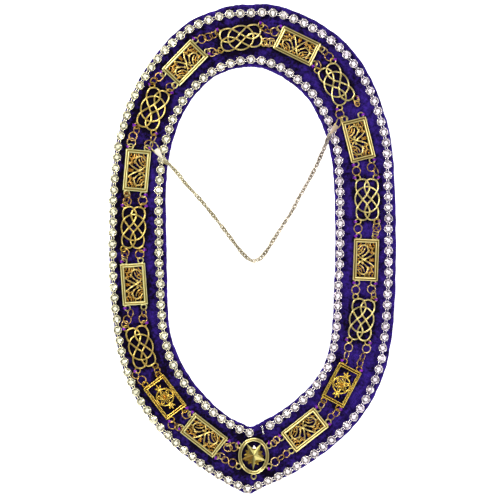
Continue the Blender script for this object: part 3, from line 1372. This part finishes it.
def oval_link():
    """Stadium-shaped link in the XY plane: two half circles and two straight sides."""
    radius = (LINK_WIDTH - LINK_WIRE) / 2
    straight = (LINK_LENGTH - LINK_WIDTH) / 2
    turns = np.radians(np.linspace(-90, 90, 7))
    right = np.stack([straight + radius * np.cos(turns), radius * np.sin(turns)], -1)
    path = np.vstack([right, -right])
    return tube(np.column_stack([path, np.zeros(len(path))]) * MM, LINK_WIRE / 2 * MM, 8,
                closed=True)


def small_chain():
    """Links at even steps along the route, turned one way and the other."""
    route = np.array(SAFETY_CHAIN_ROUTE)
    height = CHAIN_FLOOR + route[:, 2] * (CHAIN_TOP - CHAIN_FLOOR)
    path = np.column_stack([on_collar(route[:, 0], route[:, 1]), height * MM])
    path = smooth_path(path, 12, closed=False)
    length = run_along(path)[-1]
    count = int(length / (LINK_PITCH * MM))
    start = 0.3 * LINK_PITCH * MM
    centres = points_at(np.linspace(start, length - start, count), path)
    ahead = np.gradient(centres, axis=0)
    matrices = []
    for k, (centre, way) in enumerate(zip(centres, ahead)):
        turn = math.atan2(way[1], way[0])
        dip = -math.atan2(way[2], math.hypot(way[0], way[1]))
        lean = math.radians(LINK_TURN * (1, -1)[k % 2] + rng.uniform(-LINK_LEAN, LINK_LEAN))
        matrices.append(placing(centre, turn, dip, lean))
    links = copies(oval_link(), matrices, rng.uniform(-LINK_TONES, LINK_TONES, count))
    print(count, "links in the small chain")
    piece("small_chain_links", [Part(links, CHAIN_SILVER, True)], ["safety_chain"])


small_chain()


# %% Clips
Clip = namedtuple("Clip", "name node foot_across foot_along heading roll height")
CLIPS = (
    Clip("left_folded_clip", "left_clip", -0.313, 0.182, 123, 0, 10.1),
    Clip("right_folded_clip", "right_clip", 0.266, 0.231, 52, 40, 11.4),
)
TAB_LENGTH = 10.5
FOOT_HALF = 0.9
HEAD_HALF = 3.4
ROOF = ((-1.0, -0.35), (-0.93, -0.15), (-0.5, 0.18), (0.0, 0.42), (0.5, 0.18), (0.93, -0.15),
        (1.0, -0.35))
TAB_THICKNESS = 0.45
BAIL_BENDS = ((8.8, 2.6, -0.1), (11.6, 2.9, -0.2), (15.4, 2.9, -1.8), (17.9, 1.6, -2.9),
              (18.7, 0.0, -3.2), (17.9, -1.6, -2.9), (15.4, -2.9, -1.8), (11.6, -2.9, -0.2),
              (8.8, -2.6, -0.1))


def folded_tab():
    """Tapered strip folded along its middle: its section is a shallow roof."""
    run = np.linspace(0, TAB_LENGTH, 10)[:, None]
    half = FOOT_HALF + (HEAD_HALF - FOOT_HALF) * run / TAB_LENGTH
    shares, roof = np.array(ROOF).T
    upper = np.stack(np.broadcast_arrays(run, half * shares, roof), -1)
    lower = upper[:, ::-1] - (0, 0, TAB_THICKNESS)
    return capped(np.concatenate([upper, lower], axis=1) * MM)


def clip_piece(clip):
    """Folded tab, wire bail beyond its head, and a small ring at its foot."""
    bail = tube(smooth_path(BAIL_BENDS, 4, closed=False) * MM, 0.5 * MM, 8)
    hook = moved(torus(1.7 * MM, 0.8 * MM, 16, 8), at(-0.7, 0, -0.2, 0, 0, 52))
    x, y = on_collar(clip.foot_across, clip.foot_along)
    matrix = placing((x, y, clip.height * MM), math.radians(clip.heading)) @ at(
        1.0, 0, 0, 0, 0, clip.roll)
    parts = [Part(toned(moved(folded_tab(), matrix), 0.95), TAB_SILVER, False),
             Part(moved(bail, matrix), FRAME_GILT, True),
             Part(moved(hook, matrix), SILVER, True)]
    piece(clip.name, parts, [clip.node])


for clip in CLIPS:
    clip_piece(clip)


# %% [markdown]
# ## Sewing
#
# The castings are held by violet thread over their ears. A tack is a few turns of thread
# from the velvet over the ear's wire and back. The ends of the inner string are joined by a
# twist of bright wire at the front point.

# %% Thread tacks
def thread_finish():
    """Shiny violet silk."""
    thread = Finish("violet_thread", Roughness=0.5, Specular_IOR_Level=0.3)
    twist = thread.noise(0.0012, 1.0).spread(0.35, 0.65)
    thread.use(Base_Color=thread.mix(twist, hue(84, 8, 150), hue(182, 56, 246)))
    return thread.material


THREAD = thread_finish()
ARC_FOOT = 2.5
ARC_RISE = 3.2
ARC_REACH = 1.45
THREAD_SHIFTS = (-0.7, 0.0, 0.7)
BARE_SHARE = {1: 0.1, -1: 0.35}


def tack(centre, heading):
    """Three turns of thread over a wire: arcs from the velvet up and over."""
    turns = np.radians(np.linspace(0, 180, 9))
    arc = np.stack([ARC_REACH * np.cos(turns), np.zeros(9), ARC_FOOT + ARC_RISE * np.sin(turns)], -1)
    rounds = []
    for k, shift in enumerate(THREAD_SHIFTS):
        path = (arc + (0, shift, rng.uniform(-0.1, 0.1))) * MM
        rounds.append(moved(tube(path, 0.34 * MM, 6),
                            placing((*centre, 0), heading + 0.25 * (k - 1))))
    return joined(rounds)


def tacks():
    """A tack on the outer shoulder of each ear, but for a share on each side that is bare."""
    rounds = []
    for number, place in enumerate(ORNAMENTS):
        for end in (1, -1):
            for side in (1, -1):
                if rng.uniform() < BARE_SHARE[side]:
                    continue
                middle = ear_point(number, end, side)[:2]
                run = math.radians(place.turn)
                outside = np.array([-math.sin(run), math.cos(run)]) * side
                spot = middle + outside * EAR_REACH * MM
                turn = run + math.pi / 2 * side + rng.uniform(-0.7, 0.7)
                rounds.append(tack(spot, turn))
    piece("thread_tacks", [Part(joined(rounds), THREAD, True)])


tacks()


# %% Twist of wire at the front
TWIST_LENGTH = 8.0
TWIST_REACH = 0.5
TWIST_SEAT = at(9.4, -170.3, 5.2, 100, 8)


def wire_twist():
    """Two ends of bright wire wound round each other: a short double helix."""
    run = np.linspace(0, 1, 25)
    wires = []
    for phase in (0, math.pi):
        turn = phase + run * 3 * math.pi
        path = np.stack([(run - 0.5) * TWIST_LENGTH, TWIST_REACH * np.cos(turn),
                         TWIST_REACH * np.sin(turn)], -1)
        wires.append(tube(path * MM, 0.38 * MM, 8))
    twist = toned(moved(joined(wires), TWIST_SEAT), 1.2)
    piece("wire_twist", [Part(twist, SILVER, True)])


wire_twist()

# %% [markdown]
# ## Ground, light and camera
#
# The collar lies on white. Polished metal shows what is round it, so the surroundings are
# bright overhead and dark to the sides, and three square lamps give the edges their
# highlights.

# %% Ground
GROUND_REACH = 3.0
WHITE = (1.0, 1.0, 1.0)


def ground():
    """Large white plane that the collar lies on."""
    white = Finish("white_ground", Base_Color=WHITE, Roughness=1.0)
    white.use(Emission_Color=WHITE, Emission_Strength=0.95, Specular_IOR_Level=0.0)
    corners = [(x * GROUND_REACH, y * GROUND_REACH, 0.0)
               for x, y in ((-1, -1), (1, -1), (1, 1), (-1, 1))]
    mesh = bpy.data.meshes.new("ground")
    mesh.from_pydata(corners, [], [(0, 1, 2, 3)])
    mesh.materials.append(white.material)
    made = bpy.data.objects.new("ground", mesh)
    bpy.context.scene.collection.objects.link(made)


ground()

# %% Surroundings and lamps
SKY_GREYS = ((0.0, 0.30), (0.15, 0.06), (0.45, 0.12), (0.78, 0.36), (0.93, 0.62), (1.0, 1.05))
BLUE_SHARE = 1.02
SKY_STRENGTH = 0.9


def surroundings():
    """Dark all round, white overhead: a ramp on the height of the direction."""
    world = bpy.data.worlds.new("studio")
    bpy.context.scene.world = world
    sky = Nodes(world)
    way = sky.add("ShaderNodeTexCoord", output="Generated")
    height = sky.add("ShaderNodeSeparateXYZ", sockets={0: way}, output="Z")
    stops = [(place, (grey, grey, grey * BLUE_SHARE)) for place, grey in SKY_GREYS]
    ramp = sky.add("ShaderNodeValToRGB", {"stops": stops}, {0: height})
    background = sky.tree.nodes["Background"]
    sky.feed(background.inputs["Color"], ramp)
    sky.feed(background.inputs["Strength"], SKY_STRENGTH)


Lamp = namedtuple("Lamp", "name x y z size power")
LAMPS = (
    Lamp("key", -0.7, 0.6, 1.0, 0.4, 11),
    Lamp("fill", 0.9, 0.3, 0.9, 0.4, 5),
    Lamp("front", 0.1, -1.0, 0.9, 0.4, 5),
)


def lamp(row):
    """Square soft lamp that faces the collar's middle."""
    data = bpy.data.lights.new(row.name, "AREA")
    data.energy = row.power
    data.size = row.size
    made = bpy.data.objects.new(row.name, data)
    made.location = (row.x, row.y, row.z)
    way = made.location * -1
    made.rotation_euler = way.to_track_quat("-Z", "Y").to_euler()
    bpy.context.scene.collection.objects.link(made)


surroundings()
for row in LAMPS:
    lamp(row)

# %% Camera
CAMERA_HEIGHT = 1.4
VIEW_WIDTH = 0.4709
CAMERA_ACROSS = -0.00264
CAMERA_ALONG = -0.00094
camera = bpy.data.cameras.new("camera")
camera.sensor_width = 36
camera.lens = camera.sensor_width * (CAMERA_HEIGHT - VELVET_TOP) / VIEW_WIDTH
eye = bpy.data.objects.new("camera", camera)
eye.location = (CAMERA_ACROSS, CAMERA_ALONG, CAMERA_HEIGHT)
bpy.context.scene.collection.objects.link(eye)
bpy.context.scene.camera = eye
bpy.context.scene.view_settings.view_transform = "Standard"
